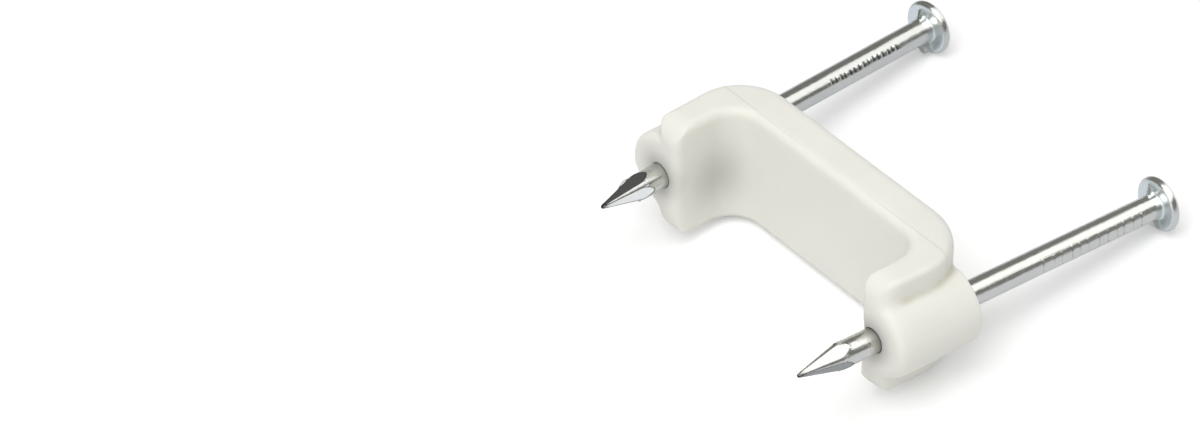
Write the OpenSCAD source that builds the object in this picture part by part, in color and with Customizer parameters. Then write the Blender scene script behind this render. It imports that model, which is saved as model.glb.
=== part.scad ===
// Nail-in cable clip: a moulded saddle that straddles a flat cable, with a steel nail through each boss.
// The clip lies on its side: X runs from boss to boss, Y along the nails away from the wall,
// and Z along the cable.
// The feet meet the wall at y = 0, midway between the nails is x = 0, and the clip lies on z = 0.

/* [Channel] */
// Width of the cable channel
channel_w = 21.45; // [16:0.05:34]
// Depth of the cable channel, from the wall to the web
channel_depth = 6.05; // [5:0.05:12]
// Radius of the two inner corners of the channel
channel_corner_r = 2.5; // [1:0.1:3.5]
// How far the channel lies to the right of the middle between the nails
channel_shift = 0.22; // [0:0.02:0.4]

/* [Saddle] */
// Width of the saddle along the cable
saddle_w = 10.7; // [9:0.1:14]
// Thickness of the web across the back
web_t = 3.6; // [2.5:0.1:5]
// Thickness of the right leg at the wall
leg_t = 2.4; // [2:0.1:4]
// Lean of the legs' outer faces and of the nails, outward from the wall, in degrees
lean = 2.82; // [0.5:0.02:5]
// Radius of the left shoulder
left_shoulder_r = 4.5; // [3:0.1:6]
// Radius of the right shoulder
right_shoulder_r = 5.2; // [3:0.1:6]
// Rounding of the outer edges
outer_edge_r = 1; // [0.3:0.1:1.2]
// Rounding of the edges along the channel
inner_edge_r = 0.7; // [0.2:0.1:0.8]

/* [Feet] */
// Radius of a foot's corners, seen from the side
foot_corner_r = 2; // [1:0.1:3]
// Rounding of a foot's edge beside the channel
foot_inner_r = 0.7; // [0.2:0.1:0.8]
// Rounding of a foot's outer edge
foot_outer_r = 1.5; // [0.3:0.1:1.6]

/* [Boss] */
// Diameter of the boss at the wall
boss_front_d = 6.9; // [5:0.1:8.5]
// Diameter of the boss at its back rim
boss_back_d = 6.5; // [5:0.1:8.5]
// Length of the boss along the nail
boss_l = 7.85; // [5:0.05:9]
// Rounding of the boss's front edge
boss_edge_r = 0.6; // [0.4:0.1:1.5]

/* [Bore] */
// Plastic left between the right-hand bore and the channel
bore_wall = 0.46; // [0.35:0.01:1.2]
// Room between the nail and the bore, on the radius
bore_clearance = 0.03; // [0.02:0.01:0.1]
// Relief round the nail where it leaves the foot
mouth_relief = 0.1; // [0.06:0.02:0.24]

/* [Nail] */
// Diameter of the nail's wire
nail_d = 2.05; // [1.6:0.05:2.6]
// Length of the nail, point to crown
nail_l = 35; // [22:0.5:50]
// How far the left nail's point stands out of the wall face
left_reach = 5.98; // [2:0.02:9]
// How far the right nail's point stands out of the wall face
right_reach = 6.96; // [2:0.02:9]
// Diameter of the head
head_d = 4.5; // [3.6:0.1:5.5]
// Thickness of the head
head_t = 0.85; // [0.5:0.05:1.2]
// Height of the crown on the head
crown_h = 0.12; // [0.05:0.01:0.25]
// Radius of the fillet under the head
fillet_r = 0.2; // [0.2:0.05:0.6]
// Reach of the two seam fins under the head, along the wire
fin_l = 0.9; // [0.5:0.1:2]
// Length of a fin's outer edge
fin_edge = 0.3; // [0.1:0.05:0.4]
// Thickness of a fin
fin_t = 0.3; // [0.2:0.05:0.6]
// Distance from a fin's outer edge to the rounded rim of the head
fin_inset = 0.05; // [0.02:0.01:0.2]
// Length of the point's four facets
point_l = 4.5; // [3:0.05:7]
// Width of the blunt end
blunt_w = 0.22; // [0.1:0.02:0.4]
// Reach of the trimmed corners of the point, as a share of the facets' distance from the axis
corner_share = 1.2; // [1.1:0.02:1.4]
// Direction of a corner of the left nail's point about its axis, in degrees
left_turn = 46; // [0:1:90]
// Direction of a corner of the right nail's point about its axis, in degrees
right_turn = 23; // [0:1:90]
// Direction of the fins on the left nail, in degrees
left_fin_turn = 110; // [0:1:180]
// Direction of the fins on the right nail, in degrees
right_fin_turn = 114; // [0:1:180]

/* [Hidden] */
$fn = 96;

// Spare length by which a cut passes the face it opens
over = 1;
mid_z = saddle_w / 2;
back_y = channel_depth + web_t;

// Nail and bore: the right-hand bore keeps its wall to the channel, and the left nail mirrors the right one
nail_r = nail_d / 2;
bore_r = nail_r + bore_clearance;
inner_x = channel_w / 2;
axis_x = inner_x + channel_shift + bore_wall + bore_r;

// Outer face of each leg at the wall
outer_x = inner_x + channel_shift + leg_t;

// Centres of the channel's corners, from the channel's own middle
corner_x = inner_x - channel_corner_r;
corner_y = channel_depth - channel_corner_r;

// Depth of the band that carries the outer edges, how far the filling stays inside the outer faces,
// and the step in which the filling follows a corner, in degrees
band_t = 2 * outer_edge_r;
fill_inset = 1.5 * outer_edge_r;
turn_step = 15;

// Boss: its draft, and how far its front rounding stands clear of its side, in parts of the rounding
boss_draft = (boss_front_d - boss_back_d) / 2 / boss_l;
lift_parts = 15;
edge_lift = boss_edge_r / lift_parts;

// Point: spread of the facets for each millimetre along the axis
facet_slope = (nail_r - blunt_w / 2) / point_l;

// Head: its underside, the rounding of its rim, the outer end of a fin and the slant of a fin's foot
seat = nail_l - head_t;
rim_r = (head_t - crown_h) / 2;
fin_x = head_d / 2 - rim_r - fin_inset;
fin_slant = (fin_l - fin_edge) / (fin_x - nail_r);
crown_fn = 360;

// Centre of a shoulder: at its radius from the back and from the leaning outer face
function shoulder_y(r) = back_y - r;
function shoulder_x(r) = outer_x + (shoulder_y(r) * sin(lean) - r) / cos(lean);

// Frame on a nail's axis: the wall face at zero, Z towards the head
module on_axis(side) {
    translate([side * axis_x, 0, mid_z])
        rotate([0, 0, -side * lean])
            rotate([-90, 0, 0])
                children();
}

// Section of the outer band, its two outer corners rounded; the outer face is at x = r
module band_section(r) {
    translate([r - band_t, -mid_z])
        square([band_t - outer_edge_r, saddle_w]);
    translate([r - fill_inset, outer_edge_r - mid_z])
        square([fill_inset, saddle_w - 2 * outer_edge_r]);
    for (s = [-1, 1])
        translate([r - outer_edge_r, s * (mid_z - outer_edge_r)])
            circle(outer_edge_r);
}

// Section of the channel, flared where the wall's inner edges are rounded; the wall's face is at x = r
module channel_section(r) {
    translate([0, -mid_z - over])
        square([r, saddle_w + 2 * over]);
    for (s = [0, 1])
        mirror([0, s])
            difference() {
                translate([r / 2, mid_z - inner_edge_r])
                    square([r / 2 + inner_edge_r, inner_edge_r + over]);
                translate([r + inner_edge_r, mid_z - inner_edge_r])
                    circle(inner_edge_r);
            }
}

// A section about a corner's centre, carried from below the wall up a leg, round the corner, to the middle
module half_turn(x, y, tilt) {
    translate([x, y, 0]) {
        rotate([90, 0, -tilt])
            linear_extrude(y + 2 * over)
                children();
        if (tilt > 0)
            rotate_extrude(start = -tilt, angle = tilt)
                children();
        rotate_extrude(start = 0, angle = 90)
            children();
        rotate([90, 0, 90])
            translate([0, 0, -x])
                linear_extrude(x)
                    children();
    }
}

// Points of half a plan: round a corner at radius r about its centre, then down the leg to below the wall
function half_plan(x, y, r, tilt) = concat(
    [for (a = [90 : -turn_step : 0]) [x + r * cos(a), y + r * sin(a)]],
    [[x + r * cos(tilt), y - r * sin(tilt)]],
    [[x + r * cos(tilt) - (y - r * sin(tilt) + 2 * over) * tan(tilt), -2 * over]]
);

// Outside of the saddle on one side, filled to the middle
module half_outside(r) {
    x = shoulder_x(r);
    y = shoulder_y(r);
    half_turn(x, y, lean)
        band_section(r);
    translate([0, 0, -mid_z])
        linear_extrude(saddle_w)
            polygon(concat(
                [[-over, -2 * over], [-over, back_y - fill_inset]],
                half_plan(x, y, r - fill_inset, lean)
            ));
}

// Room for the cable on one side, to the middle of the channel
module half_channel() {
    half_turn(corner_x, corner_y, 0)
        channel_section(channel_corner_r);
    translate([0, 0, -mid_z - over])
        linear_extrude(saddle_w + 2 * over)
            polygon(concat(
                [[-over, -2 * over], [-over, corner_y + channel_corner_r / 2]],
                half_plan(corner_x, corner_y, channel_corner_r / 2, 0)
            ));
}

// Plan of what a rounding of radius r takes off a foot's edge; the wall is y = 0, the leg towards +X
module edge_waste(r, tilt) {
    centre = (r - r * sin(tilt)) / cos(tilt);
    difference() {
        translate([-over, -over])
            square([centre + over, r - r * sin(tilt) + over]);
        translate([centre, r])
            circle(r);
    }
}

// The same, through the full width of the saddle
module edge_cut(x, side, r, tilt) {
    translate([x, 0, -over])
        mirror([side > 0 ? 0 : 1, 0, 0])
            linear_extrude(saddle_w + 2 * over)
                edge_waste(r, tilt);
}

// Side view of the saddle, with the feet's corners rounded
module side_outline() {
    translate([foot_corner_r, -mid_z])
        square([back_y, saddle_w]);
    translate([0, foot_corner_r - mid_z])
        square([back_y, saddle_w - 2 * foot_corner_r]);
    for (s = [-1, 1])
        translate([foot_corner_r, s * (mid_z - foot_corner_r)])
            circle(foot_corner_r);
}

// Saddle without bosses, its channel still filled
module saddle_blank() {
    half_x = outer_x + back_y;
    difference() {
        intersection() {
            translate([0, 0, mid_z]) {
                half_outside(right_shoulder_r);
                mirror([1, 0, 0])
                    half_outside(left_shoulder_r);
            }
            translate([-half_x, 0, mid_z])
                rotate([90, 0, 90])
                    linear_extrude(2 * half_x)
                        side_outline();
        }
        edge_cut(outer_x, -1, foot_outer_r, lean);
        edge_cut(-outer_x, 1, foot_outer_r, lean);
    }
}

// Round boss on a leg's outer side, flush with the wall, its front edge rounded
module boss(side) {
    front_r = boss_front_d / 2;
    intersection() {
        on_axis(side)
            translate([0, 0, -over])
                cylinder(r1 = front_r + over * boss_draft, r2 = boss_back_d / 2, h = boss_l + over);
        translate([side * axis_x, 0, mid_z])
            rotate([-90, 0, 0])
                rotate_extrude() {
                    translate([front_r + edge_lift - boss_edge_r, boss_edge_r])
                        circle(boss_edge_r);
                    square([front_r + edge_lift - boss_edge_r, boss_edge_r]);
                    polygon([
                        [0, boss_edge_r],
                        [front_r + edge_lift, boss_edge_r],
                        [front_r + edge_lift + over, boss_edge_r + boss_l],
                        [0, boss_edge_r + boss_l]
                    ]);
                }
    }
}

// Hole for a nail, with its relief at the wall
module bore(side) {
    on_axis(side) {
        translate([0, 0, -over])
            cylinder(r = bore_r, h = boss_l + 2 * over);
        mouth_l = mouth_relief + bore_clearance + over;
        translate([0, 0, -over])
            cylinder(r1 = nail_r + mouth_l, r2 = nail_r, h = mouth_l);
    }
}

module saddle() {
    color("#eceae1")
        difference() {
            union() {
                saddle_blank();
                boss(-1);
                boss(1);
            }
            translate([channel_shift, 0, mid_z]) {
                half_channel();
                mirror([1, 0, 0])
                    half_channel();
            }
            edge_cut(channel_shift + inner_x, 1, foot_inner_r, 0);
            edge_cut(channel_shift - inner_x, -1, foot_inner_r, 0);
            bore(-1);
            bore(1);
        }
}

// Wire, fillet and head turned about the nail's axis, the point at zero
module nail_turned() {
    crown_r = (head_d * head_d / 4 + crown_h * crown_h) / (2 * crown_h);
    rotate_extrude()
        union() {
            square([nail_r, seat + rim_r]);
            difference() {
                translate([0, seat - fillet_r])
                    square([nail_r + fillet_r, fillet_r + rim_r]);
                translate([nail_r + fillet_r, seat - fillet_r])
                    circle(fillet_r);
            }
            intersection() {
                union() {
                    translate([0, seat])
                        square([head_d / 2 - rim_r, head_t]);
                    translate([head_d / 2 - rim_r, seat + rim_r])
                        circle(rim_r);
                }
                translate([0, nail_l - crown_r])
                    circle(crown_r, $fn = crown_fn);
            }
        }
}

// Wedge between two opposite facets of the point
module facet_pair() {
    end = blunt_w / 2;
    wide = end + nail_l * facet_slope;
    rotate([90, 0, 0])
        linear_extrude(2 * head_d, center = true)
            polygon([[-end, 0], [end, 0], [wide, nail_l], [-wide, nail_l]]);
}

// Thin fins that the seam of the heading die leaves under the head, on two opposite sides
module fins() {
    rotate([90, 0, 0])
        linear_extrude(fin_t, center = true)
            polygon([
                [0, seat - fin_l - nail_r * fin_slant],
                [fin_x, seat - fin_edge],
                [fin_x, seat + rim_r],
                [-fin_x, seat + rim_r],
                [-fin_x, seat - fin_edge]
            ]);
}

// Cut nail with a four-sided point whose corners are trimmed; a facet lies midway between two corners
module nail(turn, fin_turn) {
    end = corner_share * blunt_w / 2;
    color("#c6cace")
        union() {
            rotate([0, 0, 45 - turn])
                intersection() {
                    nail_turned();
                    facet_pair();
                    rotate([0, 0, 90])
                        facet_pair();
                    cylinder(r1 = end, r2 = end + nail_l * facet_slope * corner_share, h = nail_l);
                }
            rotate([0, 0, -fin_turn])
                fins();
        }
}

module nail_left() {
    on_axis(-1)
        translate([0, 0, -left_reach / cos(lean)])
            nail(left_turn, left_fin_turn);
}

module nail_right() {
    on_axis(1)
        translate([0, 0, -right_reach / cos(lean)])
            nail(right_turn, right_fin_turn);
}

saddle();
nail_left();
nail_right();
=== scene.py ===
"""Nail-in cable clip: the moulded saddle, its two zinc-plated nails and a plain table to show them on."""

import math
from collections import namedtuple
from math import radians

import bmesh
import bpy
import numpy as np
from mathutils import Matrix, Vector, noise


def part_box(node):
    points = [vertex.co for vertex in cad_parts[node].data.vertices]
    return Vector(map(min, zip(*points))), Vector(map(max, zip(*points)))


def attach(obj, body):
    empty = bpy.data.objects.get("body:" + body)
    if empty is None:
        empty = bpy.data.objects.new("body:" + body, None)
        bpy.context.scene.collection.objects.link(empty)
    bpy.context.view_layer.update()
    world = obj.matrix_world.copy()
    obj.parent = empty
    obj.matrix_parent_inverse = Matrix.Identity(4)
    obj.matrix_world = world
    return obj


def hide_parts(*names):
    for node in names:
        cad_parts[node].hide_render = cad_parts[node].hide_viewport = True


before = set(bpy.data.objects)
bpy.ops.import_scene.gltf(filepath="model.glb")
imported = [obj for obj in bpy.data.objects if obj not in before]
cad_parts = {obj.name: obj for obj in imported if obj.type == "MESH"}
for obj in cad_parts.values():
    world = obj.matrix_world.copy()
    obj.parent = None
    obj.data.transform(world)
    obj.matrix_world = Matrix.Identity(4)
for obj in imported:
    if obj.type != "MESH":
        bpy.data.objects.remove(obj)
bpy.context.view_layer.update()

bl_info = {
    "name": "Nail-in cable clip",
    "version": (1, 0, 0),
    "blender": (4, 5, 0),
    "location": "View3D > Sidebar > Cable Clip",
    "description": "Builds a nail-in cable clip with its saddle, nails and table",
    "category": "Object",
}

MM = 0.001
LEFT, RIGHT = -1, 1
UPWARD = Vector((0, 0, 1))


# Nodes and colours

def linear(hex_code):
    """Linear RGBA of an sRGB hex colour."""
    values = [int(hex_code[i:i + 2], 16) / 255 for i in (1, 3, 5)]
    return tuple(v / 12.92 if v <= 0.04045 else ((v + 0.055) / 1.055) ** 2.4 for v in values) + (1.0,)


def add_node(tree, kind, inputs=None, **settings):
    """Adds a node, sets its properties, and sets or links its inputs; a link is given as (node, output)."""
    made = tree.nodes.new(kind)
    for name, value in settings.items():
        setattr(made, name, value)
    for key, value in (inputs or {}).items():
        if isinstance(value, tuple) and isinstance(value[0], bpy.types.Node):
            tree.links.new(value[0].outputs[value[1]], made.inputs[key])
        else:
            made.inputs[key].default_value = value
    return made


def maths(tree, operation, *values, **settings):
    """Link to the result of an operation on the given numbers or links."""
    return add_node(tree, "ShaderNodeMath", dict(enumerate(values)), operation=operation, **settings), 0


def mixed(tree, factor, first, second):
    """Link to a mix of two colours."""
    return add_node(tree, "ShaderNodeMix", {"Factor": factor, 6: first, 7: second}, data_type="RGBA"), 2


def noisy(tree, vector, grain, detail, **inputs):
    """Link to a noise with blotches of the given size."""
    return add_node(tree, "ShaderNodeTexNoise", {
        "Vector": vector, "Scale": 1 / grain, "Detail": detail, **inputs}), "Fac"


def remapped(tree, value, source, target):
    """Link to a value carried from one range to another."""
    return add_node(tree, "ShaderNodeMapRange", {
        "Value": value, "From Min": source[0], "From Max": source[1],
        "To Min": target[0], "To Max": target[1]}), 0


def stored(tree, name):
    """Link to a number that the mesh keeps under a name."""
    return add_node(tree, "ShaderNodeAttribute", attribute_name=name), "Fac"


def in_view(tree, path):
    """Link to a number that is one for what the camera sees, directly or through something clear."""
    return maths(tree, "MAXIMUM", (path, "Is Camera Ray"), (path, "Is Transmission Ray"))


def new_material(name):
    """An empty node material and its tree."""
    material = bpy.data.materials.new(name)
    material.use_nodes = True
    material.node_tree.nodes.clear()
    return material, material.node_tree


# Meshes

def new_piece(name, mesh, material):
    """A piece of the clip in the scene, smooth shaded."""
    mesh.name = name
    piece = bpy.data.objects.new(name, mesh)
    bpy.context.scene.collection.objects.link(piece)
    mesh.materials.clear()
    mesh.materials.append(material)
    mesh.polygons.foreach_set("use_smooth", [True] * len(mesh.polygons))
    mesh.update()
    return piece


def plain_mesh(obj):
    """The evaluated object as a plain mesh; the object and its modifiers are then removed."""
    bpy.context.view_layer.update()
    graph = bpy.context.evaluated_depsgraph_get()
    mesh = bpy.data.meshes.new_from_object(obj.evaluated_get(graph), depsgraph=graph)
    old = obj.data
    bpy.data.objects.remove(obj)
    bpy.data.meshes.remove(old)
    return mesh


def store(mesh, name, values):
    """Keeps one number for each vertex of a mesh as a named attribute."""
    layer = mesh.attributes.new(name, "FLOAT", "POINT")
    layer.data.foreach_set("value", np.asarray(values, np.float32))


def mesh_arrays(mesh):
    """Vertex places and edges of a mesh as arrays."""
    places = np.empty(len(mesh.vertices) * 3)
    mesh.vertices.foreach_get("co", places)
    edges = np.empty(len(mesh.edges) * 2, np.int32)
    mesh.edges.foreach_get("vertices", edges)
    return places.reshape(-1, 3), edges.reshape(-1, 2)


def vertex_normals(mesh):
    """Vertex normals of a mesh as an array."""
    normals = np.empty(len(mesh.vertices) * 3)
    mesh.vertices.foreach_get("normal", normals)
    return normals.reshape(-1, 3)


def move_vertices(mesh, places):
    """Puts a mesh's vertices in new places."""
    mesh.vertices.foreach_set("co", places.ravel())
    mesh.update()


def ramp(values, none, full):
    """Share from 0 to 1 between a value that counts for nothing and one that counts in full."""
    return np.clip((values - none) / (full - none), 0, 1)


def bell(values, width):
    """Round peak of height 1 about zero."""
    return np.exp(-(values / width) ** 2)


# Settings

def length_setting(name, description, size, **limits):
    """A length, given in millimetres."""
    return bpy.props.FloatProperty(
        name=name, description=description, default=size * MM, precision=6, unit="LENGTH", **limits)


def angle_setting(name, description, degrees):
    """An angle, given in degrees."""
    return bpy.props.FloatProperty(
        name=name, description=description, default=radians(degrees), subtype="ANGLE")


def steps_setting(name, description, count):
    """A number of smoothing steps."""
    return bpy.props.IntProperty(name=name, description=description, default=count, min=0)


def colour_setting(name, description, hex_code):
    """A colour, given as an sRGB hex code."""
    return bpy.props.FloatVectorProperty(
        name=name, description=description, default=linear(hex_code), subtype="COLOR", size=4, min=0, max=1)


class SaddleSettings(bpy.types.PropertyGroup):
    """Sizes and colours of the moulded saddle."""

    grain: length_setting("Mesh Grain", "Size of the saddle's mesh faces", 0.12)
    edge_steps: steps_setting("Edge Softness", "Smoothing steps over the whole moulding", 4)
    foot_steps: steps_setting(
        "Foot Softness", "Extra smoothing steps on the right boss's front rim and the left foot's edge", 90)
    crease_steps: steps_setting(
        "Crease Fill", "Smoothing steps that fill the creases between a leg and its boss", 60)
    band_round: length_setting("Band Round", "Round on the edges of the moulded band", 1.0, min=0.1 * MM)
    leg_round: length_setting(
        "Leg Round", "Crisper round on the right leg's outer upper edge", 0.4, min=0)
    parting_y: length_setting("Parting Line", "Distance of the mould's parting line from the wall", 6.5)
    parting_h: length_setting("Parting Ridge", "Height of the ridge that the parting line leaves", 0.02)
    bore_r: length_setting("Bore Radius", "Radius of the bore that holds a nail", 1.04)
    boss_r: length_setting("Boss Radius", "Radius of the boss round a nail", 3.45)
    colour: colour_setting("Plastic", "Colour of the plastic", "#EFEEE6")


class NailSettings(bpy.types.PropertyGroup):
    """Sizes and colours of the nails."""

    axis_x: length_setting("Half Spacing", "Distance of each nail from the middle, at the wall", 12.46)
    lean: angle_setting("Lean", "Outward lean of each nail", 2.82)
    wire_r: length_setting("Wire Radius", "Radius of the nail's wire", 1.025)
    length: length_setting("Length", "Length from point to crown", 35)
    head_r: length_setting("Head Radius", "Radius of the head", 2.245)
    head_t: length_setting("Head Thickness", "Thickness of the head", 0.85)
    crown_h: length_setting("Crown", "Height of the crown on the head", 0.12)
    fillet_r: length_setting("Fillet", "Radius of the fillet under the head", 0.2)
    point_l: length_setting("Point", "Length of the point's facets", 4.5)
    blunt_r: length_setting("Blunt End", "Distance of the facets from the axis at the very end", 0.11)
    corner_share: bpy.props.FloatProperty(
        name="Corner Share", default=1.2, min=1,
        description="Reach of the point's trimmed corners, as a share of its facets' distance")
    lip_h: length_setting(
        "Facet Lip", "Height of the rim that the cutter raises round a facet's upper end", 0.03)
    boss_l: length_setting("Boss Length", "Length of wire that a boss hides", 7.85)
    left_reach: length_setting("Left Reach", "How far the left point stands out of the wall face", 5.98)
    right_reach: length_setting("Right Reach", "How far the right point stands out of the wall face", 6.96)
    left_turn: angle_setting("Left Turn", "Turn of the left nail about its axis", 46)
    right_turn: angle_setting("Right Turn", "Turn of the right nail about its axis", 23)
    left_pitch: length_setting("Left Grip Pitch", "Spacing of the gripper marks on the left nail", 0.5)
    right_pitch: length_setting("Right Grip Pitch", "Spacing of the gripper marks on the right nail", 0.87)
    left_colour: colour_setting("Left Zinc", "Colour of the left nail's zinc plating", "#D0D1CD")
    right_colour: colour_setting("Right Zinc", "Colour of the right nail's zinc plating", "#DAD9D5")


class StageSettings(bpy.types.PropertyGroup):
    """Camera and light."""

    azimuth: angle_setting("Azimuth", "Direction that the camera stands in, about the clip", 51.56001)
    elevation: angle_setting("Elevation", "Height angle of the camera", 39.05355)
    distance: length_setting("Distance", "Distance of the camera from the clip", 415.43795)
    slide: bpy.props.FloatVectorProperty(
        name="Slide", description="Sideways and upward shift of the camera, square to its view",
        size=2, default=(-20.20705 * MM, -0.60133 * MM), unit="LENGTH")
    aim: bpy.props.FloatVectorProperty(
        name="Aim", description="Point of the clip that the camera is placed from",
        size=3, default=(0, 10.04 * MM, 5.35 * MM), unit="LENGTH")
    lens: bpy.props.FloatProperty(
        name="Lens", description="Focal length in millimetres for a 36 mm wide frame", default=163.875972)
    softbox: bpy.props.FloatProperty(
        name="Softbox", description="Power of the softbox above the front in watts", default=1.72, min=0)
    fill: bpy.props.FloatProperty(
        name="Fill", description="Strength of the even light from all round", default=0.52, min=0)


# Materials

def moulded_polyethylene(settings):
    """Natural polyethylene from a satin mould: warm off-white, softly shiny, and light passes into it."""
    material, tree = new_material("moulded_polyethylene")
    place = add_node(tree, "ShaderNodeTexCoord"), "Object"
    # Flow of the melt, clouds about 6 mm across, drawn only just strong enough to break up the flat colour
    tone = add_node(tree, "ShaderNodeValToRGB", {"Fac": noisy(tree, place, 6 * MM, 2.0)})
    darker, full = tone.color_ramp.elements
    darker.position = 0.3
    darker.color = [c * 0.97 for c in settings.colour[:3]] + [1]
    full.position = 0.7
    full.color = settings.colour
    # Painted shade: creases are tinted olive, for the shade that falls in them and the light that passes
    # through the plastic there
    deep = maths(tree, "MULTIPLY", stored(tree, "hollow"), 0.55)
    shaded = mixed(tree, deep, (tone, "Color"), linear("#C2BD98"))
    # Painted shade: grey close round each nail and on the thin channel wall over the left nail, for the
    # nail's shade seen through the plastic and about its mouth
    dim = maths(tree, "MULTIPLY", stored(tree, "steel"), 0.55)
    dimmed = mixed(tree, dim, shaded, linear("#A9A9A2"))
    # Parting line: a hair-thin darker seam round the outside at one distance from the wall
    split = add_node(tree, "ShaderNodeSeparateXYZ", {"Vector": place})
    gap = maths(tree, "ABSOLUTE", maths(tree, "SUBTRACT", (split, "Y"), settings.parting_y))
    line = remapped(tree, gap, (0.02 * MM, 0.09 * MM), (0.32, 0.0))
    seam = maths(tree, "MULTIPLY", line, stored(tree, "seam"))
    seamed = mixed(tree, seam, dimmed, linear("#BFBDB0"))
    # Satin of the mould's steel: fine grain, drawn at 0.12 mm so that it shows, on waves 3 mm across
    grain = noisy(tree, place, 0.12 * MM, 3.0, Roughness=0.6)
    waves = noisy(tree, place, 3 * MM, 1.0)
    relief = maths(tree, "MULTIPLY_ADD", waves, 12.0, grain)
    bump = add_node(tree, "ShaderNodeBump", {"Height": relief, "Strength": 0.12, "Distance": 0.01 * MM})
    sheen = remapped(tree, waves, (0.3, 0.7), (0.45, 0.55))
    shader = add_node(tree, "ShaderNodeBsdfPrincipled", {
        "Base Color": seamed, "Roughness": sheen, "IOR": 1.51, "Normal": (bump, 0),
        "Subsurface Weight": 0.35, "Subsurface Radius": (1.0, 0.86, 0.6), "Subsurface Scale": 1.2 * MM,
        "Specular IOR Level": 0.28})
    add_node(tree, "ShaderNodeOutputMaterial", {"Surface": (shader, 0)})
    return material


def bright_zinc(name, colour, turn):
    """Bright zinc plating on drawn steel wire: mirror-like bands, faint drawing lines and a slight cast."""
    material, tree = new_material(name)
    place = add_node(tree, "ShaderNodeTexCoord"), "Object"
    along = add_node(tree, "ShaderNodeMapping", {"Vector": place, "Rotation": (0, 0, turn)})
    # Drawing lines: 0.05 mm apart across the wire and many times longer along it
    lines = add_node(tree, "ShaderNodeMapping", {
        "Vector": (along, 0), "Scale": (1 / (0.05 * MM), 1 / (4 * MM), 1 / (0.05 * MM))})
    drawn = noisy(tree, (lines, 0), 1.0, 2.0)
    # Plating grain: a slight orange peel about 0.25 mm across
    peel = noisy(tree, place, 0.25 * MM, 3.0)
    relief = maths(tree, "MULTIPLY_ADD", peel, 1.6, drawn)
    bump = add_node(tree, "ShaderNodeBump", {"Height": relief, "Strength": 0.6, "Distance": 0.012 * MM})
    # The underside of the head is matt from the heading die; its pale bluish colour is a painted reflection
    # of the table below
    struck = stored(tree, "struck")
    dull = remapped(tree, peel, (0.35, 0.7), (0.1, 0.24))
    rough = maths(tree, "MULTIPLY_ADD", struck, 0.18, dull)
    # Clouds in the plating, about 1.5 mm across
    cast = noisy(tree, place, 1.5 * MM, 2.0)
    tone = mixed(tree, cast, tuple(colour), [c * 0.93 for c in colour[:3]] + [1])
    pressed = mixed(tree, struck, tone, linear("#E2EAEB"))
    # Cut faces of the point: one is dull and darkened further with painted shade, for the shaded table it
    # reflects; its neighbour is painted near white, a painted highlight
    cut_face = stored(tree, "cut")
    faces = mixed(tree, cut_face, pressed, linear("#9A9C9C"))
    fresh_glint = maths(tree, "MULTIPLY", cut_face, -1.0, use_clamp=True)
    shiny = mixed(tree, fresh_glint, faces, linear("#FCFCFA"))
    # Painted shade: dark colour on the point's end, along the edges of its facets, on its burrs, on the wire
    # at the wall and in the gripper marks
    marked = mixed(tree, stored(tree, "soot"), shiny, linear("#2C2C29"))
    shader = add_node(tree, "ShaderNodeBsdfPrincipled", {
        "Base Color": marked, "Metallic": 1.0, "Roughness": rough, "Normal": (bump, 0)})
    add_node(tree, "ShaderNodeOutputMaterial", {"Surface": (shader, 0)})
    return material


# Distances on the table, in metres, between which its glow grows, and the glow at both
GLOW_REACH, GLOW = (0.06, 0.4), (0.26, 1.0)


def table_white():
    """Matt white board that takes the clip's shadow; a glow that grows with distance keeps it white."""
    material, tree = new_material("table_white")
    path = add_node(tree, "ShaderNodeLightPath")
    place = add_node(tree, "ShaderNodeTexCoord"), "Object"
    far = add_node(tree, "ShaderNodeVectorMath", {0: place}, operation="LENGTH")
    level = remapped(tree, (far, "Value"), GLOW_REACH, GLOW)
    glow = maths(tree, "MULTIPLY", in_view(tree, path), level)
    paint = mixed(tree, (path, "Is Glossy Ray"), linear("#E9E9E9"), linear("#E6E9EE"))
    board = add_node(tree, "ShaderNodeBsdfDiffuse", {"Color": paint})
    shine = add_node(tree, "ShaderNodeEmission", {"Strength": glow})
    top = add_node(tree, "ShaderNodeAddShader", {0: (board, 0), 1: (shine, 0)})
    clear = add_node(tree, "ShaderNodeBsdfTransparent")
    side = add_node(tree, "ShaderNodeNewGeometry")
    face = add_node(tree, "ShaderNodeMixShader", {0: (side, "Backfacing"), 1: (top, 0), 2: (clear, 0)})
    add_node(tree, "ShaderNodeOutputMaterial", {"Surface": (face, 0)})
    return material


def flag_grey():
    """Dark cards beside the table, which only reflections show: they give the bright wire its dark bands."""
    material, tree = new_material("flag_grey")
    card = add_node(tree, "ShaderNodeEmission", {"Color": linear("#898985"), "Strength": 1.0})
    add_node(tree, "ShaderNodeOutputMaterial", {"Surface": (card, 0)})
    return material


# Saddle

# Inward bend of the mesh at which a crease starts to count as a hollow, and counts in full
CREASE_BEND = 0.004 * MM, 0.01 * MM
# Rings of vertices that a hollow spreads to, its gain at each, and the rings that then blur it
CREASE_SPREAD, CREASE_GAIN, CREASE_BLUR = 5, 1.3, 4
# Worn rims, each from none to full wear: depth behind the wall, and distance from the nail at both ends
WORN_DEPTH = 2.2 * MM, 1.2 * MM
WORN_INNER, WORN_OUTER = (1.5 * MM, 2.0 * MM), (5.2 * MM, 4.4 * MM)
# The worn side of each nail: the right one's outer side and the left one's lower side, as axis and range
WORN_SIDE = {LEFT: (2, -0.8 * MM, -1.8 * MM), RIGHT: (0, -0.6 * MM, 0.4 * MM)}
# The right leg lies beyond this place across the clip, and its edge is crisp from one fade to the other
LEG_X = 11 * MM
CRISP_FROM, CRISP_TO = (0.8 * MM, 1.8 * MM), (7.5 * MM, 5.5 * MM)
# Places along the leg where its outer face is found, with half the length and height of the patch looked at
FACE_AT = np.arange(0.5, 8.5, 0.25) * MM
FACE_PATCH = 0.2 * MM, 0.15 * MM
# Depth of the patch under the leg's top, as a share of the band's round
FACE_DROP = 1.2
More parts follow.
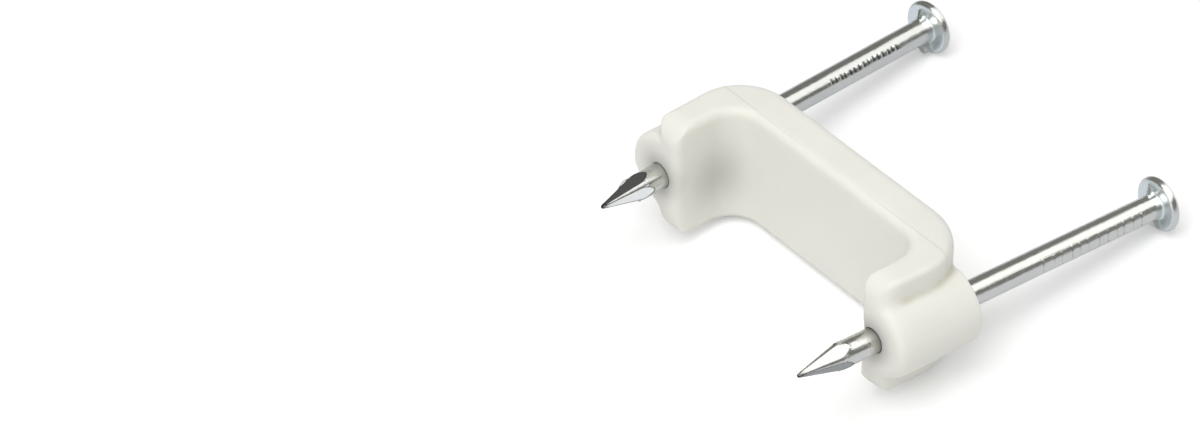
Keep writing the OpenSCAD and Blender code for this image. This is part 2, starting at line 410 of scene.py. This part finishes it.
# At the wall, plastic within the near radius closes to a share of its gap round the nail, and what lies
# out to the far radius follows; both fade with depth
MOUTH_NEAR, MOUTH_FAR = 1.3 * MM, 1.8 * MM
MOUTH_SHARE, MOUTH_DEPTH = 0.2, 0.8 * MM
# Painted nail shade reaches out through this thickness of plastic from the bore
SHOW_DEPTH = MM
# Place and size of the thin patch where the left nail's painted shade is strongest, and the skin of the
# channel's wall there
THIN_AT = np.array((-10.4, 3.9, 4.6)) * MM
THIN_SIZE = np.array((1.6, 2.6, 2.9)) * MM
THIN_SKIN = -11.2 * MM, -10.8 * MM
# The parting line starts at this distance from a boss and is faintest in the middle of the clip
SEAM_START, SEAM_FADE, SEAM_LEAST = 0.3 * MM, 8 * MM, 0.25
RIDGE_WIDTH = 0.14 * MM
# Surfaces that face more than this along the nails have no ridge
RIDGE_FACING = 0.8
# Vertices of the solid that lie closer than this are one
SOLID_MERGE = 0.0005 * MM


def neighbour_mean(values, edges, count):
    """Mean of each vertex's neighbours."""
    total = np.zeros_like(values)
    np.add.at(total, edges[:, 0], values[edges[:, 1]])
    np.add.at(total, edges[:, 1], values[edges[:, 0]])
    return total / count


def smooth(places, edges, count, steps, share=1.0):
    """Draws places half way to the mean of their neighbours in each step, or by a share of that."""
    for _ in range(steps):
        places += 0.5 * share * (neighbour_mean(places, edges, count) - places)


def nail_frame(side, nails):
    """Foot, across and along of a nail: its axis meets the wall at the foot and runs to the head."""
    low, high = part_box("saddle")
    foot = Vector((side * nails.axis_x, 0, (low.z + high.z) / 2))
    along = Vector((side * math.sin(nails.lean), math.cos(nails.lean), 0))
    across = Vector((math.cos(nails.lean), -side * math.sin(nails.lean), 0))
    return foot, across, along


def from_axis(places, side, nails):
    """Distance along a nail's axis from the wall, and the radial arm and its length, of each place."""
    foot, _, along = nail_frame(side, nails)
    arm = places - np.array(foot)
    axial = arm @ np.array(along)
    radial = arm - axial[:, None] * np.array(along)
    return axial, radial, np.linalg.norm(radial, axis=1)


def from_nails(places, nails):
    """Distance of each place from the axis of the nearer nail."""
    return np.min([from_axis(places, side, nails)[2] for side in (LEFT, RIGHT)], axis=0)


def worn_rims(places, nails):
    """Share of wear on the right boss's front rim and the left foot's lower edge, in one column."""
    worn = np.zeros(len(places))
    for side, (axis, none, full) in WORN_SIDE.items():
        axial, radial, reach = from_axis(places, side, nails)
        about = ramp(reach, *WORN_INNER) * ramp(reach, *WORN_OUTER)
        worn = np.maximum(worn, ramp(axial, *WORN_DEPTH) * about * ramp(radial[:, axis], none, full))
    return worn[:, None]


def soften(mesh, settings, nails):
    """Rounds off the moulding's edges, and more so its worn rims, and fills the creases beside the bosses."""
    places, edges = mesh_arrays(mesh)
    count = np.bincount(edges.ravel(), minlength=len(places)).reshape(-1, 1)
    smooth(places, edges, count, settings.edge_steps)
    move_vertices(mesh, places)
    bend = (neighbour_mean(places, edges, count) - places) * vertex_normals(mesh)
    hollow = ramp(bend.sum(1, keepdims=True), *CREASE_BEND)
    worn = worn_rims(places, nails)
    smooth(places, edges, count, settings.foot_steps, worn)
    hollow = hollow * (1 - worn)
    for _ in range(CREASE_SPREAD):
        hollow = np.maximum(hollow, neighbour_mean(hollow, edges, count) * CREASE_GAIN)
    for _ in range(CREASE_BLUR):
        hollow = neighbour_mean(hollow, edges, count)
    hollow = np.clip(hollow, 0, 1)
    smooth(places, edges, count, settings.crease_steps, hollow)
    move_vertices(mesh, places)
    # The crease mask also places the plastic's painted olive shade
    store(mesh, "hollow", hollow.ravel())


def square_edge(mesh, settings):
    """Squares up the right leg's outer upper edge, which stands crisply over the boss."""
    places, _ = mesh_arrays(mesh)
    x, y, z = places.T.copy()
    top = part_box("saddle")[1].z
    old = settings.band_round
    face = (x > LEG_X) & (np.abs(z - top + FACE_DROP * old) < FACE_PATCH[1])
    outer = [x[face & (np.abs(y - at) < FACE_PATCH[0])].max() for at in FACE_AT]
    # Arms from the centre of the old round, which turns through a right angle from the face to the top
    across, up = x - np.interp(y, FACE_AT, outer) + old, z - top + old
    at_edge = (x > LEG_X) & (across > 0) & (up > 0)
    reach = np.where(at_edge, np.hypot(across, up), 1.0)
    wide, tall = np.abs(across) / reach, np.abs(up) / reach
    # Each arm grows until it meets the new outline: a flat to either side of a tighter round
    part = 1 - settings.leg_round / old
    both = part * (wide + tall)
    arc = both + np.sqrt(np.maximum(both ** 2 - 2 * part ** 2 + (1 - part) ** 2, 0))
    flat = 1 / np.maximum(wide, tall)
    growth = np.where(np.minimum(wide, tall) * flat > part, arc, flat) - 1
    growth *= at_edge * ramp(y, *CRISP_FROM) * ramp(y, *CRISP_TO)
    places[:, 0] += growth * across
    places[:, 2] += growth * up
    move_vertices(mesh, places)


def close_mouths(mesh, settings, nails):
    """Draws the plastic close round the nails where they leave it, and keeps the bores clear of them."""
    places, _ = mesh_arrays(mesh)
    bore_r = settings.bore_r
    tight = bore_r + MOUTH_SHARE * (MOUTH_NEAR - bore_r)
    for side in (LEFT, RIGHT):
        axial, radial, reach = from_axis(places, side, nails)
        drawn = np.interp(reach, [bore_r, MOUTH_NEAR, MOUTH_FAR], [bore_r, tight, MOUTH_FAR])
        share = ramp(axial, MOUTH_DEPTH, 0) * (reach < MOUTH_FAR)
        wanted = np.maximum(reach + share * (drawn - reach), bore_r)
        places += radial * (wanted / reach - 1)[:, None]
    move_vertices(mesh, places)


def paint_nail_shade(mesh, settings, nails):
    """Marks where painted nail shade goes: close round each nail, and where the channel's wall is thinnest.
    """
    places, _ = mesh_arrays(mesh)
    steel = bell(from_nails(places, nails) - settings.bore_r, SHOW_DEPTH)
    thin = np.exp(-(((places - THIN_AT) / THIN_SIZE) ** 2).sum(1)) * ramp(places[:, 0], *THIN_SKIN)
    store(mesh, "steel", np.maximum(steel, thin))


def raise_parting_line(mesh, settings, nails):
    """The slight ridge where the mould's halves meet, round the outside between the bosses."""
    places, _ = mesh_arrays(mesh)
    normals = vertex_normals(mesh)
    seam = ramp(from_nails(places, nails) - settings.boss_r, 0, SEAM_START)
    seam *= np.clip(np.abs(places[:, 0]) / SEAM_FADE, SEAM_LEAST, 1)
    ridge = settings.parting_h * seam * bell(places[:, 1] - settings.parting_y, RIDGE_WIDTH)
    places += normals * (ridge * (np.abs(normals[:, 1]) < RIDGE_FACING))[:, None]
    low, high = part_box("saddle")
    move_vertices(mesh, np.clip(places, np.array(low), np.array(high)))
    store(mesh, "seam", seam)


def merged_copy(node):
    """A solid's mesh as one closed shell, in an object of its own."""
    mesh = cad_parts[node].data.copy()
    work = bmesh.new()
    work.from_mesh(mesh)
    bmesh.ops.remove_doubles(work, verts=work.verts, dist=SOLID_MERGE)
    work.to_mesh(mesh)
    work.free()
    obj = bpy.data.objects.new(node + "_work", mesh)
    bpy.context.scene.collection.objects.link(obj)
    return obj


class CLIP_OT_saddle(bpy.types.Operator):
    """Builds the moulded saddle with its soft edges and parting line"""

    bl_idname = "cable_clip.make_saddle"
    bl_label = "Saddle"

    def execute(self, context):
        settings, nails = context.scene.clip_saddle, context.scene.clip_nails
        work = merged_copy("saddle")
        remesh = work.modifiers.new("even_mesh", "REMESH")
        remesh.mode = "VOXEL"
        remesh.voxel_size = settings.grain
        mesh = plain_mesh(work)
        if not mesh.polygons:
            raise RuntimeError("the saddle's mesh came out empty")
        soften(mesh, settings, nails)
        square_edge(mesh, settings)
        close_mouths(mesh, settings, nails)
        paint_nail_shade(mesh, settings, nails)
        raise_parting_line(mesh, settings, nails)
        piece = new_piece("saddle_moulding", mesh, moulded_polyethylene(settings))
        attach(piece, "root")
        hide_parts("saddle")
        return {"FINISHED"}


# Nails

# Vertices round each ring of a nail's mesh, and rings on each stretch of it with those at both ends
SPOKES = 160
RINGS = {"point": 130, "wire": 70, "fins": 36, "fillet": 11, "seat": 6, "rim": 17, "crown": 15}
# Fine rings of the mesh run past the point, and start again before the fins under the head
POINT_ROOM, FIN_ROOM = 0.5 * MM, 1.4 * MM
# Length of the rounding of the point's very end
END_ROUND = 0.15 * MM
# Stretch of the point that has a lip round its facets: from here to so far past the facets' length
LIP_START, LIP_PAST = 2 * MM, MM
LIP_WIDTH = 0.12 * MM
# Strength and width of the painted shade lines round the facets, along the corners from a start, and on the
# end
RIM_SHADE, RIM_WIDTH = 0.75, 0.05 * MM
CORNER_SHADE, CORNER_WIDTH, CORNER_START = 0.7, 0.04 * MM, 0.3 * MM
END_SHADE, END_WIDTH = 1.0, 0.4 * MM
# Width of the painted shade where a nail leaves the wall, painted shade on the burrs, and the least rise that
# has it
WALL_SHADE_WIDTH = 0.45 * MM
BURR_SHADE, BURR_LEAST = 0.7, 0.2
# Distances from the head's underside at which the heading die's mark starts, is full and ends
STRUCK_START, STRUCK_FULL, STRUCK_PAST = -0.2 * MM, -0.1 * MM, 0.05 * MM
# Unevenness of the wire: its share of the radius, its grain round and along the wire, and its end before
# the head
WOBBLE, WOBBLE_ROUND, WOBBLE_LENGTH, WOBBLE_END = 0.0035, 1.2, 2.2 * MM, 0.1 * MM
# Allowance for rounding in a comparison of lengths
ROUNDING = 1e-9
# Folds sharper than this stay crisp
FOLD = radians(28)
# Vertices of a nail that lie closer than this are one, and a nail with fewer faces than this has failed
NAIL_MERGE, LEAST_FACES = 0.0002 * MM, SPOKES * 100

# A fin under the head: angle about the wire, length, outer radius, flat length and thickness
Fin = namedtuple("Fin", "angle reach outer flat thick")
# A burr on the point: angle from the nail's turn, distance from the end, height, length and width in radians
Burr = namedtuple("Burr", "angle start height length width")

# Each nail's looks: the angle of the dull facet with painted shade, the strength of the painted highlight on
# its neighbour, the painted shade on the wire at the wall, and the gripper marks with their span, as shares
# of the bare wire between boss and head
NAILS = {
    "left": {
        "side": LEFT, "seed": 3, "dull": radians(45), "fresh_glint": 0.8, "wall_shade": 0.15,
        "fins": (
            Fin(radians(110), 0.55 * MM, 1.7 * MM, 0.15 * MM, 0.3 * MM),
            Fin(radians(-68), 1.05 * MM, 1.83 * MM, 0.75 * MM, 0.5 * MM)),
        "burrs": (
            Burr(radians(90), 2.75 * MM, 0.2 * MM, 0.45 * MM, 0.06),
            Burr(radians(-90), 3.3 * MM, 0.09 * MM, 0.14 * MM, 0.1)),
        "span": (0.465, 0.842),
        "grip": {
            "Side": radians(39.5), "Sweep": radians(26), "Width": 0.3 * MM, "Depth": 0.09 * MM,
            "Breadth": 1.9, "Stray": 0.12, "Spin": 0.08, "Grime": 0.9},
    },
    "right": {
        "side": RIGHT, "seed": 8, "dull": radians(-45), "fresh_glint": 0.0, "wall_shade": 0.5,
        "fins": (
            Fin(radians(114), 0.55 * MM, 1.83 * MM, 0.1 * MM, 0.26 * MM),
            Fin(radians(-66), 1.05 * MM, 1.83 * MM, 0.2 * MM, 0.34 * MM)),
        "burrs": (
            Burr(radians(90), 3.75 * MM, 0.07 * MM, 0.2 * MM, 0.09),
            Burr(radians(-90), 3.55 * MM, 0.1 * MM, 0.16 * MM, 0.1)),
        "span": (0.4, 0.93),
        "grip": {
            "Side": radians(18), "Sweep": radians(62), "Width": 0.08 * MM, "Depth": 0.05 * MM,
            "Breadth": 1.15, "Stray": 0.16, "Spin": 0.08, "Grime": 0.05},
    },
}


def angle_gap(angles, centre):
    """Smallest difference between angles and a centre."""
    return np.abs((angles - centre + math.pi) % (2 * math.pi) - math.pi)


def nail_rings(nails):
    """Distance along the nail and plain radius of each ring of its mesh, from the point to the crown."""
    seat = nails.length - nails.head_t
    rim_r = (nails.head_t - nails.crown_h) / 2
    flat_r = nails.head_r - rim_r
    wire_r, fillet_r = nails.wire_r, nails.fillet_r
    tip_end, fin_start = nails.point_l + POINT_ROOM, seat - FIN_ROOM
    rings = [(0, wire_r)]
    for stretch, start, end in (
            ("point", 0, tip_end), ("wire", tip_end, fin_start), ("fins", fin_start, seat - fillet_r)):
        rings += [(s, wire_r) for s in np.linspace(start, end, RINGS[stretch])[1:]]
    for a in np.linspace(0, math.pi / 2, RINGS["fillet"])[1:]:
        rings.append((seat - fillet_r * (1 - math.sin(a)), wire_r + fillet_r * (1 - math.cos(a))))
    rings += [(seat, r) for r in np.linspace(wire_r + fillet_r, flat_r, RINGS["seat"])[1:]]
    for a in np.linspace(0, math.pi, RINGS["rim"])[1:]:
        rings.append((seat + rim_r * (1 - math.cos(a)), flat_r + rim_r * math.sin(a)))
    for t in np.linspace(0, 1, RINGS["crown"])[1:-1]:
        rings.append((nails.length - nails.crown_h * (1 - t) ** 2, flat_r * (1 - t)))
    return np.array(rings)


def point_shape(nails, s, plain, facet, look):
    """Radius, cut faces and painted shade of the four-sided point; a face's look is 1 for the dull facet with
    painted shade and -1 for the fresh facet with a painted highlight.
    """
    slope = (nails.wire_r - nails.blunt_r) / nails.point_l
    flat = nails.blunt_r + slope * s
    plane = flat / np.cos(facet)
    corner = nails.corner_share * flat
    across = flat * np.sin(facet) / np.cos(facet) ** 2 / nails.wire_r
    outside = (plane - plain) / np.hypot(slope / np.cos(facet), across)
    beside = (plane < corner) & (s > LIP_START) & (s < nails.point_l + LIP_PAST)
    lip = nails.lip_h * bell(outside, LIP_WIDTH) * beside * (outside > 0)
    end = np.sqrt(np.clip(1 - (1 - np.minimum(s / END_ROUND, 1)) ** 2, 0, 1))
    shape = np.minimum(plain, np.minimum(plane, corner)) * end + lip
    faces = ((plane <= corner) & (plane < plain)) * look
    edge = (np.abs(facet) - math.acos(1 / nails.corner_share)) * plane
    soot = RIM_SHADE * bell(outside, RIM_WIDTH) * beside + END_SHADE * bell(s, END_WIDTH)
    soot = soot + CORNER_SHADE * bell(edge, CORNER_WIDTH) * (plane < plain) * (s > CORNER_START)
    return shape, faces, np.clip(soot, 0, 1)


def shell_faces(count):
    """Faces of a closed shell of rings, with a middle vertex at each end."""
    around = [(k, (k + 1) % SPOKES) for k in range(SPOKES)]
    last, base = (count - 1) * SPOKES, count * SPOKES
    faces = []
    for ring in range(0, last, SPOKES):
        faces += [(ring + k, ring + n, ring + SPOKES + n, ring + SPOKES + k) for k, n in around]
    for k, n in around:
        faces += [(n, k, base), (last + k, last + n, base + 1)]
    return faces


def nail_body(nails, turn, wall, kind):
    """The nail as one closed shell about the Z axis, its point at zero and the wall's face at a distance."""
    rings = nail_rings(nails)
    s, plain = rings[:, :1], rings[:, 1:]
    spokes = np.arange(SPOKES) * (2 * math.pi / SPOKES)
    seat = nails.length - nails.head_t
    quarter = math.pi / 2
    facet = (spokes[None, :] - turn) % quarter - quarter / 2
    # The dull facet gets painted shade and the fresh one a painted highlight
    dull = angle_gap(spokes, turn + kind["dull"]) < quarter / 2
    fresh_glint = angle_gap(spokes, turn + kind["dull"] - quarter) < quarter / 2
    shape, cut, soot = point_shape(nails, s, plain, facet, dull - kind["fresh_glint"] * fresh_glint)
    # Painted shade on the wire where it leaves the wall
    soot = np.maximum(soot, kind["wall_shade"] * bell(s - wall, WALL_SHADE_WIDTH))
    struck = ramp(s - seat, STRUCK_START, STRUCK_FULL) * (s < seat + STRUCK_PAST)
    for burr in kind["burrs"]:
        lift = bell(s - burr.start, burr.length) * bell(angle_gap(spokes, turn + burr.angle), burr.width)
        shape = shape + burr.height * lift
        soot = np.maximum(soot, BURR_SHADE * lift * (lift > BURR_LEAST))
    for fin in kind["fins"]:
        rise = ramp(s - seat, -fin.reach, -fin.flat)
        web = nails.wire_r + (fin.outer - nails.wire_r) * rise
        inside = (angle_gap(spokes, fin.angle) * web < fin.thick / 2) & (rise > 0)
        inside &= s <= seat + ROUNDING
        shape = np.where(inside, np.maximum(shape, web), shape)
    ring = [(WOBBLE_ROUND * math.cos(a) + kind["seed"], WOBBLE_ROUND * math.sin(a)) for a in spokes]
    wobble = np.array([[noise.noise(Vector((*at, z / WOBBLE_LENGTH))) for at in ring] for z in s.ravel()])
    shape = shape * (1 + WOBBLE * ramp(s, 0, nails.point_l) * wobble * (s < seat - WOBBLE_END))
    grid = np.stack([shape * np.cos(spokes), shape * np.sin(spokes), np.broadcast_to(s, shape.shape)], 2)
    verts = np.concatenate([grid.reshape(-1, 3), [[0, 0, 0], [0, 0, nails.length]]])
    mesh = bpy.data.meshes.new("nail_body")
    mesh.from_pydata(verts.tolist(), [], shell_faces(len(rings)))
    mesh.update()
    for name, values, at_point in (("cut", cut, 0), ("soot", soot, 1), ("struck", struck, 0)):
        store(mesh, name, np.append(np.broadcast_to(values, shape.shape).ravel(), [at_point, 0]))
    return mesh


GRIP_INPUTS = {
    "Wire Radius": "Float", "Start": "Float", "Pitch": "Float", "Count": "Int", "Side": "Float",
    "Sweep": "Float", "Width": "Float", "Depth": "Float", "Breadth": "Float", "Stray": "Float",
    "Spin": "Float", "Grime": "Float", "Seed": "Int", "Material": "Material",
}


def strewn(tree, given, least, most, shift):
    """Link to a random number for each gripper mark, from a seed shifted off the nail's own."""
    seed = maths(tree, "ADD", (given, "Seed"), shift)
    return add_node(tree, "FunctionNodeRandomValue", {2: least, 3: most, "Seed": seed}, data_type="FLOAT"), 1


def grip_mark(tree, given):
    """Link to one gripper mark: an arc round the wire, swept by a diamond that cuts to the wanted depth."""
    lift = maths(tree, "SUBTRACT", (given, "Width"), (given, "Depth"))
    arc = add_node(tree, "GeometryNodeCurveArc", {
        "Resolution": 14, "Radius": maths(tree, "ADD", (given, "Wire Radius"), lift),
        "Start Angle": maths(tree, "MULTIPLY_ADD", (given, "Sweep"), -0.5, (given, "Side")),
        "Sweep Angle": (given, "Sweep")})
    diamond = add_node(tree, "GeometryNodeCurvePrimitiveCircle", {
        "Resolution": 4, "Radius": (given, "Width")})
    return add_node(tree, "GeometryNodeCurveToMesh", {
        "Curve": (arc, 0), "Profile Curve": (diamond, 0), "Fill Caps": True}), 0


def grip_tree():
    """Node tree that presses two opposite rows of gripper marks into a nail's wire."""
    tree = bpy.data.node_groups.new("gripper_marks", "GeometryNodeTree")
    tree.interface.new_socket("Geometry", in_out="INPUT", socket_type="NodeSocketGeometry")
    for name, kind in GRIP_INPUTS.items():
        tree.interface.new_socket(name, in_out="INPUT", socket_type="NodeSocket" + kind)
    tree.interface.new_socket("Geometry", in_out="OUTPUT", socket_type="NodeSocketGeometry")
    given = add_node(tree, "NodeGroupInput")
    # The marks stand half a pitch apart, and stray a little along the wire
    start = add_node(tree, "ShaderNodeCombineXYZ", {"Z": (given, "Start")})
    step = add_node(tree, "ShaderNodeCombineXYZ", {"Z": maths(tree, "MULTIPLY", (given, "Pitch"), 0.5)})
    row = add_node(tree, "GeometryNodeMeshLine", {
        "Count": (given, "Count"), "Start Location": (start, 0), "Offset": (step, 0)})
    drift = maths(tree, "MULTIPLY", (given, "Pitch"), (given, "Stray"))
    shift = strewn(tree, given, maths(tree, "MULTIPLY", drift, -1.0), drift, shift=0.0)
    moved = add_node(tree, "ShaderNodeCombineXYZ", {"Z": shift})
    placed = add_node(tree, "GeometryNodeSetPosition", {"Geometry": (row, 0), "Offset": (moved, 0)})
    # Every second mark is on the far side, and each is turned a little about the wire
    index = add_node(tree, "GeometryNodeInputIndex")
    odd = maths(tree, "MODULO", (index, 0), 2.0)
    unspin = maths(tree, "MULTIPLY", (given, "Spin"), -1.0)
    slant = strewn(tree, given, unspin, (given, "Spin"), shift=17.0)
    turned = add_node(tree, "ShaderNodeCombineXYZ", {"Z": maths(tree, "MULTIPLY_ADD", odd, math.pi, slant)})
    # Marks differ a little in depth and more in breadth
    bite = strewn(tree, given, 0.975, 1.005, shift=41.0)
    least = maths(tree, "MULTIPLY", (given, "Breadth"), 0.7)
    most = maths(tree, "MULTIPLY", (given, "Breadth"), 1.3)
    breadth = strewn(tree, given, least, most, shift=59.0)
    size = add_node(tree, "ShaderNodeCombineXYZ", {"X": bite, "Y": bite, "Z": breadth})
    marks = add_node(tree, "GeometryNodeInstanceOnPoints", {
        "Points": (placed, 0), "Instance": grip_mark(tree, given),
        "Rotation": (turned, 0), "Scale": (size, 0)})
    solid_marks = add_node(tree, "GeometryNodeRealizeInstances", {"Geometry": (marks, 0)})
    # Painted shade: the marks' faces take a dark value, for the shade in the grooves
    shaded_marks = add_node(tree, "GeometryNodeStoreNamedAttribute", {
        "Geometry": (solid_marks, 0), "Name": "soot", "Value": (given, "Grime")},
        data_type="FLOAT", domain="POINT")
    cut = add_node(tree, "GeometryNodeMeshBoolean", {
        "Mesh 1": (given, "Geometry"), "Mesh 2": (shaded_marks, 0)},
        operation="DIFFERENCE", solver="MANIFOLD")
    named = add_node(tree, "GeometryNodeSetMaterial", {
        "Geometry": (cut, 0), "Material": (given, "Material")})
    add_node(tree, "NodeGroupOutput", {"Geometry": (named, 0)})
    return tree


def press_grips(mesh, tree, values):
    """The nail's mesh with the gripper marks pressed in, as a plain mesh."""
    work = bpy.data.objects.new("nail_work", mesh)
    bpy.context.scene.collection.objects.link(work)
    modifier = work.modifiers.new("gripper_marks", "NODES")
    modifier.node_group = tree
    for item in tree.interface.items_tree:
        if item.in_out == "INPUT" and item.name in values:
            modifier[item.identifier] = values[item.name]
    return plain_mesh(work)


def settle_normals(mesh):
    """Sharp edges where the metal folds hard, so that smooth shading doesn't smear across them."""
    work = bmesh.new()
    work.from_mesh(mesh)
    bmesh.ops.remove_doubles(work, verts=work.verts, dist=NAIL_MERGE)
    bmesh.ops.recalc_face_normals(work, faces=work.faces)
    for edge in work.edges:
        edge.smooth = len(edge.link_faces) == 2 and edge.calc_face_angle(0) < FOLD
    work.to_mesh(mesh)
    work.free()


class CLIP_OT_nails(bpy.types.Operator):
    """Builds the two zinc-plated nails with their points, heads and gripper marks"""

    bl_idname = "cable_clip.make_nails"
    bl_label = "Nails"

    def execute(self, context):
        nails = context.scene.clip_nails
        tree = grip_tree()
        for word, kind in NAILS.items():
            turn, reach, pitch, colour = (
                getattr(nails, word + "_" + name) for name in ("turn", "reach", "pitch", "colour"))
            material = bright_zinc("bright_zinc_" + word, colour, kind["side"] * nails.lean)
            wall = reach / math.cos(nails.lean)
            bare_start, bare_end = wall + nails.boss_l, nails.length - nails.head_t
            first, last = (bare_start + share * (bare_end - bare_start) for share in kind["span"])
            mesh = press_grips(nail_body(nails, turn, wall, kind), tree, {
                **kind["grip"], "Wire Radius": nails.wire_r, "Start": first, "Pitch": pitch,
                "Count": int(2 * (last - first) / pitch), "Seed": kind["seed"], "Material": material})
            if len(mesh.polygons) < LEAST_FACES:
                raise RuntimeError("the %s nail's mesh came out empty" % word)
            foot, across, along = nail_frame(kind["side"], nails)
            stand = Matrix((across, UPWARD, along)).transposed().to_4x4()
            stand.translation = foot - along * wall
            mesh.transform(stand)
            settle_normals(mesh)
            piece = new_piece("wire_nail_" + word, mesh, material)
            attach(piece, "root")
            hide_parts("nail_" + word)
        return {"FINISHED"}


# Stage, with places and sizes of table, cards and light in metres

TABLE_HALF = 0.9
# Place across the table and height of each dark card, and half their length
FLAGS = {"left": (-0.45, 1.73), "right": (0.52, 0.45)}
FLAG_HALF = 1.2
FLAG_HIDDEN = ("camera", "diffuse", "transmission", "shadow", "volume_scatter")
SOFTBOX_AT = Vector((0.1, -0.15, 0.5))
SOFTBOX_WIDE, SOFTBOX_TALL = 0.36, 0.42
# Brightness of what bright metal reflects from above
CEILING = 1.5
# Width in millimetres of the frame that the lens is given for, and the nearest that the camera sees
FILM_WIDTH, NEAREST = 36, 0.01
# Distance from the wall at which the clip balances, and the slopes that are tried
BALANCE_Y = 10.5 * MM
STEEPEST, SLOPE_STEPS = 0.3, 601


def table_slope():
    """Slope and height of the table under the clip, which lies on its rear edge and nail heads."""
    sides = np.concatenate([mesh_arrays(obj.data)[0][:, 1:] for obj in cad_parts.values()])
    slopes = np.linspace(0, STEEPEST, SLOPE_STEPS)
    heights = np.array([(sides[:, 1] - slope * sides[:, 0]).min() for slope in slopes])
    best = np.argmax(heights + slopes * BALANCE_Y)
    return slopes[best], heights[best]


def stage_card(scene, name, corners, material, tilt):
    """A flat four-cornered card of the stage, laid out on the table's slope."""
    mesh = bpy.data.meshes.new(name)
    mesh.from_pydata(corners, [], [(0, 1, 2, 3)])
    mesh.materials.append(material)
    card = bpy.data.objects.new(name, mesh)
    card.matrix_world = tilt
    scene.collection.objects.link(card)
    return card


class CLIP_OT_stage(bpy.types.Operator):
    """Sets up the table, the light and the camera"""

    bl_idname = "cable_clip.make_stage"
    bl_label = "Stage"

    def execute(self, context):
        settings = context.scene.clip_stage
        scene = context.scene
        scene.view_settings.view_transform = "Standard"
        self.make_camera(scene, settings)
        slope, height = table_slope()
        tilt = Matrix.Translation((0, 0, height)) @ Matrix.Rotation(math.atan(slope), 4, "X")
        self.make_table(scene, tilt)
        self.make_light(scene, settings, tilt)
        self.make_world(scene, settings)
        return {"FINISHED"}

    def make_camera(self, scene, settings):
        """The camera on its arm about the clip."""
        azimuth, elevation = settings.azimuth, settings.elevation
        toward = Vector((
            math.sin(azimuth) * math.cos(elevation),
            -math.cos(azimuth) * math.cos(elevation),
            math.sin(elevation)))
        right = toward.cross(-UPWARD).normalized()
        up = toward.cross(right).normalized()
        data = bpy.data.cameras.new("camera")
        data.sensor_width = FILM_WIDTH
        data.lens = settings.lens
        data.clip_start = NEAREST
        camera = bpy.data.objects.new("camera", data)
        camera.location = (
            Vector(settings.aim) + toward * settings.distance
            + right * settings.slide[0] + up * settings.slide[1])
        camera.rotation_euler = (math.pi / 2 - elevation, 0, azimuth)
        scene.collection.objects.link(camera)
        scene.camera = camera

    def make_table(self, scene, tilt):
        """The table, with a dark card standing on either side that only reflections show."""
        half = TABLE_HALF
        corners = [(-half, -half, 0), (half, -half, 0), (half, half, 0), (-half, half, 0)]
        stage_card(scene, "table", corners, table_white(), tilt)
        grey = flag_grey()
        for word, (x, top) in FLAGS.items():
            corners = [(x, -FLAG_HALF, 0), (x, FLAG_HALF, 0), (x, FLAG_HALF, top), (x, -FLAG_HALF, top)]
            flag = stage_card(scene, "flag_" + word, corners, grey, tilt)
            for ray in FLAG_HIDDEN:
                setattr(flag, "visible_" + ray, False)

    def make_light(self, scene, settings, tilt):
        """The softbox above the front."""
        data = bpy.data.lights.new("softbox", "AREA")
        data.shape = "RECTANGLE"
        data.size = SOFTBOX_WIDE
        data.size_y = SOFTBOX_TALL
        data.energy = settings.softbox
        lamp = bpy.data.objects.new("softbox", data)
        aim = SOFTBOX_AT.to_track_quat("Z", "Y").to_matrix().to_4x4()
        lamp.matrix_world = tilt @ Matrix.Translation(SOFTBOX_AT) @ aim
        scene.collection.objects.link(lamp)

    def make_world(self, scene, settings):
        """Even light from all round, white where the camera sees it and brighter in reflections."""
        world = bpy.data.worlds.new("studio")
        scene.world = world
        world.use_nodes = True
        tree = world.node_tree
        tree.nodes.clear()
        path = add_node(tree, "ShaderNodeLightPath")
        fill, white, ceiling = (
            add_node(tree, "ShaderNodeBackground", {"Color": linear("#FFFFFF"), "Strength": strength})
            for strength in (settings.fill, 1.0, CEILING))
        behind = add_node(tree, "ShaderNodeMixShader", {0: in_view(tree, path), 1: (fill, 0), 2: (white, 0)})
        both = add_node(tree, "ShaderNodeMixShader", {
            0: (path, "Is Glossy Ray"), 1: (behind, 0), 2: (ceiling, 0)})
        add_node(tree, "ShaderNodeOutputWorld", {"Surface": (both, 0)})


class CLIP_PT_parts(bpy.types.Panel):
    """Lists the clip's pieces and their settings"""

    bl_idname = "CLIP_PT_parts"
    bl_label = "Cable Clip"
    bl_space_type = "VIEW_3D"
    bl_region_type = "UI"
    bl_category = "Cable Clip"

    def draw(self, context):
        scene = context.scene
        for operator, settings in (
                (CLIP_OT_saddle, scene.clip_saddle),
                (CLIP_OT_nails, scene.clip_nails),
                (CLIP_OT_stage, scene.clip_stage)):
            box = self.layout.box()
            box.operator(operator.bl_idname)
            for name in settings.__annotations__:
                box.prop(settings, name)


CLASSES = (
    SaddleSettings, NailSettings, StageSettings,
    CLIP_OT_saddle, CLIP_OT_nails, CLIP_OT_stage, CLIP_PT_parts,
)


def register():
    for cls in CLASSES:
        bpy.utils.register_class(cls)
    bpy.types.Scene.clip_saddle = bpy.props.PointerProperty(type=SaddleSettings)
    bpy.types.Scene.clip_nails = bpy.props.PointerProperty(type=NailSettings)
    bpy.types.Scene.clip_stage = bpy.props.PointerProperty(type=StageSettings)


def unregister():
    del bpy.types.Scene.clip_stage
    del bpy.types.Scene.clip_nails
    del bpy.types.Scene.clip_saddle
    for cls in reversed(CLASSES):
        bpy.utils.unregister_class(cls)


def main():
    register()
    bpy.ops.cable_clip.make_saddle()
    bpy.ops.cable_clip.make_nails()
    bpy.ops.cable_clip.make_stage()


if __name__ == "__main__":
    main()
